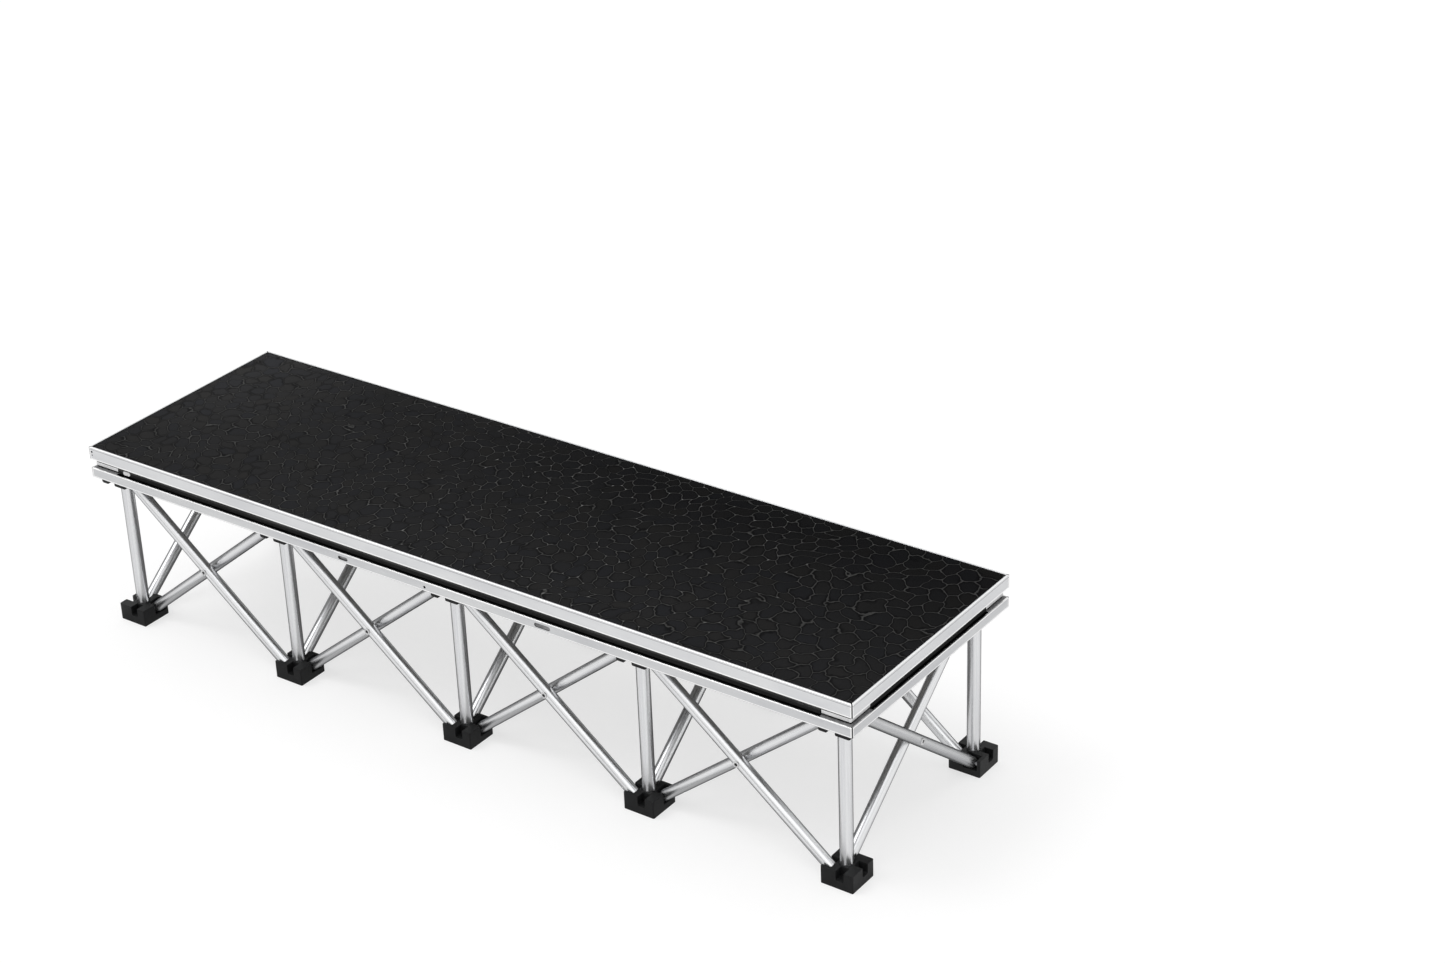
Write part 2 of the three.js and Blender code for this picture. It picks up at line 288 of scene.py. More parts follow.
hub_low, hub_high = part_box("top_hub_front_1")
rail_low, rail_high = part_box("front_rail")
hub_height = hub_high.z - hub_low.z
rail_base = rail_low.z
stage_height = rail_high.z
rail_height = stage_height - rail_base
groove_top = rail_height - UPPER_BAND_HEIGHT
groove_middle = rail_base + (LOWER_BAND_HEIGHT + groove_top) / 2
half_length = max(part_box("right_rail")[1].x, rail_high.x)
half_width = -rail_low.y
column_x = [centre_of(f"foot_front_{number}").x for number in range(1, COLUMN_COUNT + 1)]
row_y = {row: centre_of(f"foot_{row}_1").y for row in ROWS}
top_pin_z = hub_high.z - PIN_HEIGHT
bearing_height = hub_high.z - rail_base + SEAT_GAP
ledge_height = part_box("deck_panel")[0].z - rail_base - SEAT_GAP

# Edges of the deck: half the rail's length, how far out its face lies, and its turn
EDGES = {
    "front": (half_length, half_width, 0),
    "rear": (half_length, half_width, math.pi),
    "left": (half_width, half_length, -math.pi / 2),
    "right": (half_width, half_length, math.pi / 2),
}


def add_object(name, data):
    piece = bpy.data.objects.new(name, data)
    bpy.context.scene.collection.objects.link(piece)
    return piece


def add_camera():
    lens = bpy.data.cameras.new("camera")
    lens.lens = LENS
    lens.sensor_width = SENSOR_WIDTH
    camera = add_object("camera", lens)
    camera.location = CAMERA_PLACE
    camera.rotation_euler = [math.radians(angle) for angle in CAMERA_TURN]
    bpy.context.scene.camera = camera


add_camera()


# Mesh helpers

def mesh_from(name, points, faces):
    mesh = bpy.data.meshes.new(name)
    mesh.from_pydata([tuple(point) for point in points], [], faces)
    mesh.update()
    return add_object(name, mesh)


def settle(piece):
    """Applies the piece's modifiers to its own mesh."""
    graph = bpy.context.evaluated_depsgraph_get()
    settled = bpy.data.meshes.new_from_object(piece.evaluated_get(graph))
    piece.modifiers.clear()
    piece.data = settled


def cut(piece, cutters):
    """Cuts each of the cutters out of the piece, then deletes them."""
    for cutter in cutters:
        boolean = piece.modifiers.new("cut", "BOOLEAN")
        boolean.operation = "DIFFERENCE"
        boolean.solver = "EXACT"
        boolean.object = cutter
    settle(piece)
    for cutter in cutters:
        bpy.data.objects.remove(cutter)


def round_edges(piece, width, steps=2, slot=-1):
    bevel = piece.modifiers.new("round", "BEVEL")
    bevel.width = width
    bevel.material = slot
    bevel.segments = steps
    bevel.limit_method = "ANGLE"
    bevel.angle_limit = math.radians(ROUNDED_ANGLE)
    bevel.miter_outer = "MITER_ARC"
    settle(piece)


def smooth(piece, sharp_angle=SHARP_ANGLE):
    piece.data.shade_smooth()
    piece.data.set_sharp_from_angle(angle=math.radians(sharp_angle))
    weighted = piece.modifiers.new("normals", "WEIGHTED_NORMAL")
    weighted.keep_sharp = True
    settle(piece)


def face_outwards(piece):
    made = bmesh.new()
    made.from_mesh(piece.data)
    bmesh.ops.recalc_face_normals(made, faces=made.faces)
    made.to_mesh(piece.data)
    made.free()


def add_materials(piece, *materials):
    for material in materials:
        piece.data.materials.append(material)


def dress(piece, body, slot, *nodes):
    """Lets the piece ride on its body, and lets it stand for CAD nodes, which it hides. The slot is not
    used.
    """
    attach(piece, body)
    if nodes:
        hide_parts(*nodes)


def copy_of(pattern, name, matrix):
    piece = add_object(name, pattern.data)
    piece.matrix_world = matrix
    return piece


def prism(name, outline, low, high, axes=(0, 1, 2)):
    """A flat outline drawn out from low to high. axes says which world axis each of the
    outline's two directions and the depth run along."""
    points = []
    for depth in (low, high):
        for a, b in outline:
            point = [0, 0, 0]
            point[axes[0]], point[axes[1]], point[axes[2]] = a, b, depth
            points.append(point)
    count = len(outline)
    faces = [tuple(range(count)), tuple(range(2 * count - 1, count - 1, -1))]
    for i in range(count):
        j = (i + 1) % count
        faces.append((i, i + count, j + count, j))
    piece = mesh_from(name, points, faces)
    face_outwards(piece)
    return piece


def rounded_outline(corners):
    """Corners as (a, b, radius) in order; each is replaced by an arc of its radius."""
    outline = []
    count = len(corners)
    for index, (a, b, radius) in enumerate(corners):
        here = Vector((a, b))
        if radius == 0:
            outline.append(tuple(here))
            continue
        before = (Vector(corners[index - 1][:2]) - here).normalized()
        after = (Vector(corners[(index + 1) % count][:2]) - here).normalized()
        half_angle = before.angle(after) / 2
        centre = here + (before + after).normalized() * (radius / math.sin(half_angle))
        start = here + before * (radius / math.tan(half_angle)) - centre
        end = here + after * (radius / math.tan(half_angle)) - centre
        sweep = start.angle_signed(end)
        for step in range(PROFILE_STEPS + 1):
            arc = start.copy()
            arc.rotate(Matrix.Rotation(-sweep * step / PROFILE_STEPS, 2))
            outline.append(tuple(centre + arc))
    return outline


def stadium(length, height, segments=10):
    """A slot's outline, round at both ends, about the origin."""
    radius = height / 2
    outline = []
    for side in (1, -1):
        for step in range(segments + 1):
            angle = math.pi * (step / segments - 0.5)
            a = side * (length / 2 - radius + radius * math.cos(angle))
            outline.append((a, side * radius * math.sin(angle)))
    return outline


def ring_outline(radius, segments):
    turn = 2 * math.pi / segments
    return [(radius * math.cos(turn * i), radius * math.sin(turn * i)) for i in range(segments)]


def moved(outline, along, up):
    return [(along + a, up + b) for a, b in outline]


def revolve(name, profile, segments, closed=False):
    """Turns a profile of (x, radius) about the X axis. A profile that isn't closed starts and
    ends on the axis."""
    points = []
    rings = []
    for x, radius in profile:
        if radius == 0:
            rings.append([len(points)])
            points.append((x, 0, 0))
            continue
        rings.append(list(range(len(points), len(points) + segments)))
        points += [(x, a, b) for a, b in ring_outline(radius, segments)]
    pairs = list(zip(rings, rings[1:]))
    if closed:
        pairs.append((rings[-1], rings[0]))
    faces = []
    for first, second in pairs:
        for i in range(segments):
            j = (i + 1) % segments
            corners = [first[i % len(first)], first[j % len(first)]]
            corners += [second[j % len(second)], second[i % len(second)]]
            faces.append(tuple(dict.fromkeys(corners)))
    piece = mesh_from(name, points, faces)
    face_outwards(piece)
    return piece


# Node helpers. The owner is a material or the world

def node(owner, kind, **settings):
    made = owner.node_tree.nodes.new(kind)
    for name, value in settings.items():
        if name in made.inputs:
            made.inputs[name].default_value = value
        else:
            setattr(made, name, value)
    return made


def feed(owner, value, socket):
    """Links an output to the socket, or sets the socket's own value."""
    if isinstance(value, bpy.types.NodeSocket):
        owner.node_tree.links.new(value, socket)
    else:
        socket.default_value = value


def calculate(owner, operation, *values, kind="ShaderNodeMath", output=0):
    made = node(owner, kind, operation=operation)
    for value, socket in zip(values, made.inputs):
        feed(owner, value, socket)
    return made.outputs[output]


def vectors(owner, operation, *values, output="Vector"):
    return calculate(owner, operation, *values, kind="ShaderNodeVectorMath", output=output)


def scaled(owner, vector, factor):
    result = vectors(owner, "SCALE", vector)
    feed(owner, factor, result.node.inputs["Scale"])
    return result


def product(owner, result, *factors):
    for factor in factors:
        result = calculate(owner, "MULTIPLY", result, factor)
    return result


def ramp(owner, value, start, end, low=0.0, high=1.0):
    """Maps start..end to low..high, and no further."""
    mapped = node(owner, "ShaderNodeMapRange")
    for name, level in zip(("Value", "From Min", "From Max", "To Min", "To Max"),
                           (value, start, end, low, high)):
        feed(owner, level, mapped.inputs[name])
    return mapped.outputs["Result"]


def spread(owner, noise, low=0.0, high=1.0):
    """Maps the middle range of a noise to low..high."""
    return ramp(owner, noise, *NOISE_MIDDLE, low, high)


def blend(owner, share, first, second):
    """A mix of two colours, each given as a colour or an output."""
    mixed = node(owner, "ShaderNodeMix", data_type="RGBA")
    feed(owner, share, mixed.inputs["Factor"])
    for value, socket in zip((first, second), [s for s in mixed.inputs if s.type == "RGBA"]):
        feed(owner, value if isinstance(value, bpy.types.NodeSocket) else (*value, 1), socket)
    return next(socket for socket in mixed.outputs if socket.type == "RGBA")


def own_place(owner):
    """The point in the piece's own coordinates."""
    return node(owner, "ShaderNodeTexCoord").outputs["Object"]


def parts_of(owner, vector):
    split = node(owner, "ShaderNodeSeparateXYZ")
    feed(owner, vector, split.inputs["Vector"])
    return split.outputs


def noise_at(owner, place, scale, detail=2.0, output="Fac", **settings):
    noise = node(owner, "ShaderNodeTexNoise", Scale=scale, Detail=detail, **settings)
    feed(owner, place, noise.inputs["Vector"])
    return noise.outputs[output]


def stretched_noise(owner, scales, detail=4.0):
    """Noise drawn out by three scales, in cycles per metre."""
    stretch = node(owner, "ShaderNodeMapping", Scale=scales)
    feed(owner, own_place(owner), stretch.inputs["Vector"])
    return noise_at(owner, stretch.outputs["Vector"], 1.0, detail, Roughness=0.6)


def bump(owner, shader, height, strength, distance):
    raised = node(owner, "ShaderNodeBump", Strength=strength, Distance=distance)
    feed(owner, height, raised.inputs["Height"])
    feed(owner, raised.outputs["Normal"], shader.inputs["Normal"])


# Materials

def new_material(name, colour, roughness, metallic=0.0, specular=0.5):
    material = bpy.data.materials.new(name)
    material.use_nodes = True
    shader = material.node_tree.nodes["Principled BSDF"]
    shader.inputs["Base Color"].default_value = (*colour, 1)
    shader.inputs["Roughness"].default_value = roughness
    shader.inputs["Metallic"].default_value = metallic
    shader.inputs["Specular IOR Level"].default_value = specular
    return material, shader


def metal_material(name, dark, light, roughness, grain, edge, streaks=(3.0, 14.0, 14.0), metallic=1.0):
    """Drawn or cast metal: fine lines along the piece, soft streaks of tone, an uneven gloss, and
    an edge reflection that is duller than a mirror's."""
    metal, shader = new_material(name, light, roughness[0], metallic=metallic)
    shader.inputs["Specular Tint"].default_value = (edge, edge, edge, 1)
    tone = spread(metal, stretched_noise(metal, streaks, detail=3.0))
    feed(metal, blend(metal, tone, dark, light), shader.inputs["Base Color"])
    lines = stretched_noise(metal, (6.0, 1500.0, 1500.0), detail=3.0)
    feed(metal, spread(metal, lines, *roughness), shader.inputs["Roughness"])
    bump(metal, shader, lines, grain, 0.0002)
    return metal


def plastic_material():
    """Moulded black plastic with a fine grain and uneven gloss."""
    plastic, shader = new_material("black_plastic", (0.0145, 0.015, 0.0155), 0.5, specular=0.19)
    tone = spread(plastic, stretched_noise(plastic, (40.0, 40.0, 40.0)))
    shade = blend(plastic, tone, (0.0105, 0.0109, 0.0114), (0.0175, 0.0180, 0.0186))
    feed(plastic, shade, shader.inputs["Base Color"])
    grain = stretched_noise(plastic, (1400.0, 1400.0, 1400.0), detail=2.0)
    feed(plastic, spread(plastic, grain, 0.44, 0.62), shader.inputs["Roughness"])
    bump(plastic, shader, grain, 0.25, 0.0002)
    return plastic


def coated_material(name, dark, light, scale, roughness):
    """A dull coat of uneven tone."""
    coat, shader = new_material(name, light, roughness, specular=0.0)
    tone = spread(coat, noise_at(coat, own_place(coat), scale))
    feed(coat, blend(coat, tone, dark, light), shader.inputs["Base Color"])
    return coat


def strip_material():
    """Black pile with faint streaks along it, greyer above its middle and darker below it, as painted
    light, and black along its top, as the painted shadow of the band above.
    """
    pile, shader = new_material("loop_strip", (0.020, 0.020, 0.020), 0.9, specular=0.03)
    height = parts_of(pile, own_place(pile))["Z"]
    shadow_start = groove_middle + STRIP_SHADOW_START
    share = product(
        pile,
        ramp(pile, height, groove_middle - STRIP_LIGHT_SPAN, groove_middle + STRIP_LIGHT_SPAN, 0.15, 1.0),
        ramp(pile, height, shadow_start, shadow_start + STRIP_SHADOW_EDGE, 1.0, 0.0),
        spread(pile, stretched_noise(pile, (9.0, 260.0, 260.0)), 0.3, 1.0))
    # Greyer where the painted light falls, black under the painted shadow
    lit_tone = blend(pile, share, (0.018, 0.018, 0.0185), (0.19, 0.19, 0.187))
    feed(pile, lit_tone, shader.inputs["Base Color"])
    bump(pile, shader, stretched_noise(pile, (500.0, 1100.0, 1100.0)), 0.8, 0.0006)
    return pile


def hexagons(owner, grid):
    """For a point of the plane among hexagons one unit across their flats: how far inside its
    hexagon's sides it lies, how far from the middle, and the hexagon's own number."""
    period = (1, math.sqrt(3), 4)
    half = tuple(length / 2 for length in period)
    minus_half = tuple(-length for length in half)
    corner = (half[0], half[1], 0)
    even = vectors(owner, "WRAP", grid, half, minus_half)
    odd = vectors(owner, "WRAP", vectors(owner, "SUBTRACT", grid, corner), half, minus_half)
    nearer = calculate(owner, "LESS_THAN", vectors(owner, "LENGTH", even, output="Value"),
                       vectors(owner, "LENGTH", odd, output="Value"))
    offset = vectors(owner, "MULTIPLY_ADD", vectors(owner, "SUBTRACT", even, odd), nearer, odd)
    folded = vectors(owner, "ABSOLUTE", offset)
    across = vectors(owner, "DOT_PRODUCT", folded, (1, 0, 0), output="Value")
    aslant = vectors(owner, "DOT_PRODUCT", folded, corner, output="Value")
    outer = calculate(owner, "SMOOTH_MAX", across, aslant, NET_CORNER_ROUND)
    middle = vectors(owner, "SUBTRACT", grid, offset)
    steps = vectors(owner, "MULTIPLY_ADD", middle, (1 / half[0], 1 / half[1], 0), half)
    inside = calculate(owner, "SUBTRACT", half[0], outer)
    return inside, vectors(owner, "LENGTH", offset, output="Value"), vectors(owner, "FLOOR", steps)


def net_grid(owner, place, x):
    """The point in the net's own plane, where a cell is one unit wide and the lines are bent."""
    bent = scaled(owner, place, ramp(owner, x, *NET_GROWTH))
    for scale, reach in NET_WARPS:
        shift = noise_at(owner, place, scale, detail=1.0, output="Color")
        bent = vectors(owner, "MULTIPLY_ADD", shift, (reach, reach, 0), bent)
    return vectors(owner, "MULTIPLY", bent, (1 / NET_PITCH, 1 / NET_PITCH, 0))


def film_painted_sheen(owner, x, y):
    """Painted sheen: how pale the film's tone is, which is painted light, and how glossy it is; most at
    the front and the left end.
    """
    front = ramp(owner, x, *FRONT_SHEEN)
    rear = calculate(owner, "ADD", ramp(owner, x, *CORNER_SHEEN), ramp(owner, x, *REAR_SHEEN))
    rise = calculate(owner, "SUBTRACT", rear, front)
    return calculate(owner, "MULTIPLY_ADD", rise, ramp(owner, y, *SHEEN_DEPTH), front)


def board_material():
    """Black film faced board: a net of thin raised lines round cells of unlike size, each cell a little
    bluer or browner than the next. The lines fade here and there, have darker sides, and carry small
    bright painted glints where they meet. A painted sheen makes the film paler at the front and the
    left end: painted light."""
    film, shader = new_material("deck_film", (0.0090, 0.0093, 0.0100), 0.46, specular=0.03)
    place = own_place(film)
    x, y, _ = parts_of(film, place)
    inside, from_middle, number = hexagons(film, net_grid(film, place, x))

    faded = ramp(film, noise_at(film, place, FADING_SCALE), *LINE_FADING)
    fresh = calculate(film, "SUBTRACT", 1.0, faded)
    mended = calculate(film, "MULTIPLY_ADD", fresh, ramp(film, x, *LINE_KEPT), faded)
    line = product(film, ramp(film, inside, *LINE_CORE), mended, ramp(film, x, *LINE_STRENGTH))
    beside = ramp(film, inside, *LINE_SIDE)
    sparkle = ramp(film, noise_at(film, place, GLINT_SCALE), *GLINT_SPARKLE)
    # Painted glints where the lines meet
    painted_glint = product(film, ramp(film, from_middle, *LINE_MEETING), sparkle,
                    ramp(film, x, *GLINTS_FROM), ramp(film, x, *GLINTS_TO))

    chance = node(film, "ShaderNodeTexWhiteNoise")
    feed(film, number, chance.inputs["Vector"])
    cell = blend(film, chance.outputs["Value"], *CELL_TONES)
    clouds = spread(film, noise_at(film, place, CLOUD_SCALE, detail=3.0), 0.0, 0.4)
    clouded = blend(film, clouds, cell, CLOUD_TONE)
    fine = noise_at(film, place, GRAIN_SCALE, detail=3.0)
    painted_sheen = film_painted_sheen(film, x, y)
    # Painted light: the film's tone follows the painted sheen
    level = calculate(film, "MULTIPLY_ADD", painted_sheen, *PAINTED_SHEEN_BRIGHTNESS)
    toned = scaled(film, clouded, product(film, level, spread(film, fine, 0.70, 1.30)))
    edged = blend(film, beside, toned, LINE_SIDE_TONE)
    line_tone = blend(film, ramp(film, x, *LINE_PALE), *LINE_TONES)
    lined = blend(film, line, edged, line_tone)
    feed(film, blend(film, painted_glint, lined, GLINT_TONE), shader.inputs["Base Color"])

    gloss = calculate(film, "MULTIPLY_ADD", painted_sheen, *SHEEN_GLOSS)
    flat = calculate(film, "MULTIPLY_ADD", beside, -0.75, 1.0)
    feed(film, product(film, gloss, flat), shader.inputs["Specular IOR Level"])
    feed(film, spread(film, fine, 0.42, 0.58), shader.inputs["Roughness"])
    bump(film, shader, calculate(film, "MULTIPLY_ADD", fine, 0.12, line), 0.5, 0.0004)
    return film


band_metal = metal_material(
    "satin_band", (0.64, 0.645, 0.66), (0.74, 0.745, 0.75), (0.34, 0.46), 0.10, 0.75)
# A darker copy of the band metal for the lower band, the lip's top and the rail's inner faces: painted
# shade
shaded_band_metal = metal_material(
    "satin_band_painted_shade", (0.55, 0.555, 0.57), (0.65, 0.655, 0.66), (0.34, 0.46), 0.10, 0.75)
# Darker metal for the scribed line, the bottom edge, and the groove's ledge and roof: painted shade
line_shade_metal = metal_material(
    "painted_line_shade", (0.36, 0.36, 0.365), (0.46, 0.46, 0.465), (0.40, 0.50), 0.10, 0.5)
# Bright metal on strips along the rails' edges, beside the mitre seams and on the keys' rounded edges:
# painted highlights
edge_highlight_metal = metal_material(
    "painted_edge_highlight", (0.86, 0.86, 0.86), (0.95, 0.95, 0.95), (0.26, 0.36), 0.05, 0.9)
# Dark metal for the rails' sawn ends, the slot walls and the small dark fasteners, and as painted shade
# on a strip beside each mitre seam
sawn_metal_and_painted_shade = metal_material(
    "sawn_metal_and_painted_shade", (0.06, 0.06, 0.06), (0.12, 0.12, 0.12), (0.55, 0.70), 0.30, 0.3)
# Grey metal for the sheets at the bottom of the slots: painted shade
slot_painted_shade = metal_material(
    "slot_painted_shade", (0.16, 0.16, 0.165), (0.30, 0.30, 0.305), (0.40, 0.55), 0.15, 0.3,
    streaks=(40.0, 90.0, 90.0))
tube_metal = metal_material(
    "drawn_tube", (0.64, 0.645, 0.66), (0.80, 0.805, 0.81), (0.22, 0.32), 0.12, 0.0,
    streaks=(1.5, 110.0, 110.0))
key_metal = metal_material(
    "cast_key", (0.66, 0.66, 0.665), (0.78, 0.78, 0.785), (0.38, 0.50), 0.15, 0.7,
    streaks=(30.0, 60.0, 60.0), metallic=0.8)
# Steel for the pins, and for the sheet at the bottom of the small hole as painted shade there
pin_and_hole_shade_metal = metal_material(
    "steel_pin_and_hole_shade", (0.30, 0.30, 0.31), (0.38, 0.38, 0.39), (0.25, 0.35), 0.10, 0.5)
# A near-black coat on the board's sides and rounded edges: a sealed edge, darkened further as painted
# shade of the gap to the lip
sealed_edge_and_gap_shade = coated_material(
    "sealed_edge_and_gap_shade", (0.0018, 0.0018, 0.0019), (0.0040, 0.0040, 0.0041), 60.0, 0.9)
# A near-black coat for the groove's back, the walls of the holes, the keys' necks and the sheets on the
# groove's ledge: painted shade of these recesses
recess_shade_coat = coated_material(
    "painted_recess_shade", (0.0022, 0.0022, 0.0023), (0.0050, 0.0050, 0.0052), 90.0, 0.8)
# A grey coat for the sheets on the ledge below the keys: painted shade of the gap
ledge_painted_shade = coated_material(
    "ledge_painted_shade", (0.24, 0.24, 0.245), (0.34, 0.34, 0.345), 60.0, 0.6)
pale_underside = coated_material(
    "pale_underside", (0.44, 0.43, 0.41), (0.54, 0.53, 0.51), 12.0, 0.7)
# Black plastic for the blocks, also on the floor of the rivets' eyes as painted shade
black_plastic = plastic_material()
board_film = board_material()
strip_pile_and_painted_light = strip_material()


# Legs

def leg_mesh(length):
    outer = LEG_RADIUS
    inner = LEG_RADIUS - LEG_WALL
    edge = LEG_END_ROUND
    profile = [
        (0, inner + edge), (0, outer - edge), (edge, outer),
        (length - edge, outer), (length, outer - edge), (length, inner + edge),
        (length - edge, inner), (edge, inner),
    ]
    piece = revolve("leg_pattern", profile, TUBE_SEGMENTS, closed=True)
    smooth(piece)
    add_materials(piece, tube_metal)
    return piece


def add_legs():
    low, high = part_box("leg_front_1")
    pattern = leg_mesh(high.z - low.z)
    upright = Matrix.Rotation(-math.pi / 2, 4, "Y")
    for row in ROWS:
        for number, x in enumerate(column_x, 1):
            leg = f"leg_{row}_{number}"
            foot = Matrix.Translation((x, row_y[row], low.z))
            piece = copy_of(pattern, f"leg_tube_{row}_{number}", foot @ upright)
            dress(piece, body_of[leg], "tube_aluminium", leg)
    bpy.data.objects.remove(pattern)


add_legs()


# Braces

def brace_end(side, length):
    """Rings of one brace end, from the tube's side to the flat of its rounded end."""
    rings = []
    for step in range(ROUND_STEPS + 1):
        angle = math.pi / 2 * step / ROUND_STEPS
        radius = BRACE_RADIUS - BRACE_EDGE_ROUND * (1 - math.cos(angle))
        drop = BRACE_EDGE_ROUND * (1 - math.sin(angle))
        ring = []
        for y, z in ring_outline(radius, TUBE_SEGMENTS):
            reach = math.sqrt(max(BRACE_RADIUS ** 2 - z ** 2, 0)) - drop * abs(y) / radius
            ring.append((length / 2 + side * (length / 2 + reach), y, z))
        rings.append(ring)
    return rings


def brace_mesh(length):
    """A brace along X from its first pin to its second, with its pins along Y and its ends
    rounded about them."""
    rings = list(reversed(brace_end(-1, length))) + brace_end(1, length)
    points = [point for ring in rings for point in ring]
    faces = []
    for start in range(0, len(points) - TUBE_SEGMENTS, TUBE_SEGMENTS):
        for i in range(TUBE_SEGMENTS):
            j = (i + 1) % TUBE_SEGMENTS
            faces.append((start + i, start + j, start + TUBE_SEGMENTS + j, start + TUBE_SEGMENTS + i))
    half = TUBE_SEGMENTS // 2
    quarter = TUBE_SEGMENTS // 4
    for start in (0, len(points) - TUBE_SEGMENTS):
        for side in (1, -1):
            for i in range(quarter):
                corners = (i, i + 1, half - i - 1, half - i)
                indices = [start + (side * corner) % TUBE_SEGMENTS for corner in corners]
                faces.append(tuple(dict.fromkeys(indices)))
    piece = mesh_from("brace_pattern", points, faces)
    face_outwards(piece)
    return piece


def bar_along_y(name, radius, x, low, high):
    outline = moved(ring_outline(radius, PIN_SEGMENTS), x, 0)
    return prism(name, outline, low, high, axes=(0, 2, 1))


def drilled_brace(length, hole_places):
    piece = brace_mesh(length)
    reach = 2 * BRACE_RADIUS
    hole = PIN_RADIUS + PIN_CLEARANCE
    cut(piece, [bar_along_y("hole", hole, x, -reach, reach) for x in hole_places])
    smooth(piece, BRACE_SHARP_ANGLE)
    add_materials(piece, tube_metal)
    return piece


def rivet_mesh():
    """A rivet along X with a hollow head at each end, centred between the two braces. Each head's
    shallow eye has a black floor, painted shade of the hollow.
    """
    span = BRACE_OFFSET + BRACE_RADIUS
    edge = RIVET_HEAD / 2
    profile = []
    for side in (-1, 1):
        face = side * (span + RIVET_HEAD)
        half = [
            (face - side * RIVET_EYE_DEPTH, 0),
            (face - side * RIVET_EYE_DEPTH, RIVET_EYE_RADIUS),
            (face, RIVET_EYE_RADIUS + edge / 3),
            (face, RIVET_RADIUS - edge),
            (face - side * edge / 3, RIVET_RADIUS - edge / 3),
            (face - side * edge, RIVET_RADIUS),
            (side * (span - RIVET_SEATING), RIVET_RADIUS),
            (side * (span - RIVET_SEATING), PIN_RADIUS),
        ]
        profile += half if side < 0 else list(reversed(half))
    piece = revolve("rivet_pattern", profile, PIN_SEGMENTS)
    smooth(piece)
    add_materials(piece, key_metal, black_plastic)
    # The floor of each eye takes the black plastic: painted shade
    eye = span + RIVET_HEAD - RIVET_EYE_DEPTH
    for face in piece.data.polygons:
        off_axis = math.hypot(face.center.y, face.center.z)
        in_eye = abs(abs(face.center.x) - eye) < RIVET_EYE_DEPTH / 4
        face.material_index = int(in_eye and off_axis < RIVET_EYE_RADIUS)
    return piece


bay_run = column_x[1] - column_x[0] - 2 * PIN_REACH
brace_length = math.hypot(bay_run, top_pin_z - PIN_HEIGHT)
rising_pattern = drilled_brace(brace_length, (0, brace_length / 2, brace_length))
falling_pattern = drilled_brace(brace_length, (0, brace_length))
rivet_pattern = rivet_mesh()


def add_brace(node_name, first, second, pin_axis):
    riveted = node_name.startswith("falling")
    along = (second - first).normalized()
    turn = Matrix((along, pin_axis, along.cross(pin_axis))).transposed().to_4x4()
    pattern = falling_pattern if riveted else rising_pattern
    piece = copy_of(pattern, node_name.replace("brace", "tube"), Matrix.Translation(first) @ turn)
    dress(piece, body_of[node_name], "tube_aluminium", node_name)
    if riveted:
        middle = Matrix.Translation((first + second) / 2 + pin_axis * BRACE_OFFSET)
        along_pin = pin_axis.to_track_quat("X", "Z").to_matrix().to_4x4()
        name = node_name.replace("falling", "rivet").replace("_brace", "")
        dress(copy_of(rivet_pattern, name, middle @ along_pin), body_of[node_name], "tube_aluminium")


def add_braces(start, end, pin_axis, name, crossed=True):
    """A rising brace between two columns, and the falling one that crosses it. They lie on
    either side of the line from start to end."""
    aside = pin_axis * BRACE_OFFSET
    low = Vector((0, 0, PIN_HEIGHT))
    high = Vector((0, 0, top_pin_z))
    add_brace(f"rising_{name}", start + aside + low, end + aside + high, pin_axis)
    if crossed:
        add_brace(f"falling_{name}", start - aside + high, end - aside + low, pin_axis)


for row, y in row_y.items():
    for bay in range(1, COLUMN_COUNT):
        add_braces(Vector((column_x[bay - 1] + PIN_REACH, y, 0)),
                   Vector((column_x[bay] - PIN_REACH, y, 0)),
                   Vector((0, 1, 0)), f"brace_{row}_{bay}")
for number, x in enumerate(column_x, 1):
    add_braces(Vector((x, row_y["front"] + PIN_REACH, 0)),
               Vector((x, row_y["rear"] - PIN_REACH, 0)),
               Vector((-1, 0, 0)), f"depth_brace_{number}", number in (1, COLUMN_COUNT))
for pattern in (rising_pattern, falling_pattern, rivet_pattern):
    bpy.data.objects.remove(pattern)


# Hub blocks and their pins. A block's faces are counted by quarter turns from its own +X

def turn_to(face, piece):
    piece.data.transform(Matrix.Rotation(face * math.pi / 2, 4, "Z"))


def pocket_cutter(braced, face, flare):
    """The pocket in one face of a block that stands on z = 0, with rounded floor corners and a
    mouth that opens with the flare's radius."""
    if braced:
        width, floor, corner = WIDE_POCKET_WIDTH, WIDE_POCKET_FLOOR, WIDE_POCKET_ROUND
    else:
        width, floor, corner = NARROW_POCKET_WIDTH, NARROW_POCKET_FLOOR, NARROW_POCKET_ROUND
    near, far = POCKET_EDGE, POCKET_EDGE + width
    out = 2 * flare
    top = 2 * hub_height
    near_side, far_side = [(near, top, 0)], [(far, top, 0)]
    if flare:
        near_side = [(near - out, top, 0), (near - out, hub_height, 0), (near, hub_height, flare)]
        far_side = [(far, hub_height, flare), (far + out, hub_height, 0), (far + out, top, 0)]
    outline = rounded_outline([*near_side, (near, floor, corner), (far, floor, corner), *far_side])
    cutter = prism("pocket", outline, POCKET_INNER, HUB_WIDTH, axes=(1, 2, 0))
    turn_to(face, cutter)
    return cutter


def corner_cutter(radius, face):
    """Rounds the upper edge of one face of a block with the radius."""
    half = HUB_WIDTH / 2
    inner = half - radius - SEAT_GAP
    lower = hub_height - radius - SEAT_GAP
    outline = rounded_outline([
        (inner, 2 * hub_height, 0), (inner, hub_height, 0), (half, hub_height, radius),
        (half, lower, 0), (2 * half, lower, 0), (2 * half, 2 * hub_height, 0)])
    cutter = prism("corner", outline, -HUB_WIDTH, HUB_WIDTH, axes=(0, 2, 1))
    turn_to(face, cutter)
    return cutter


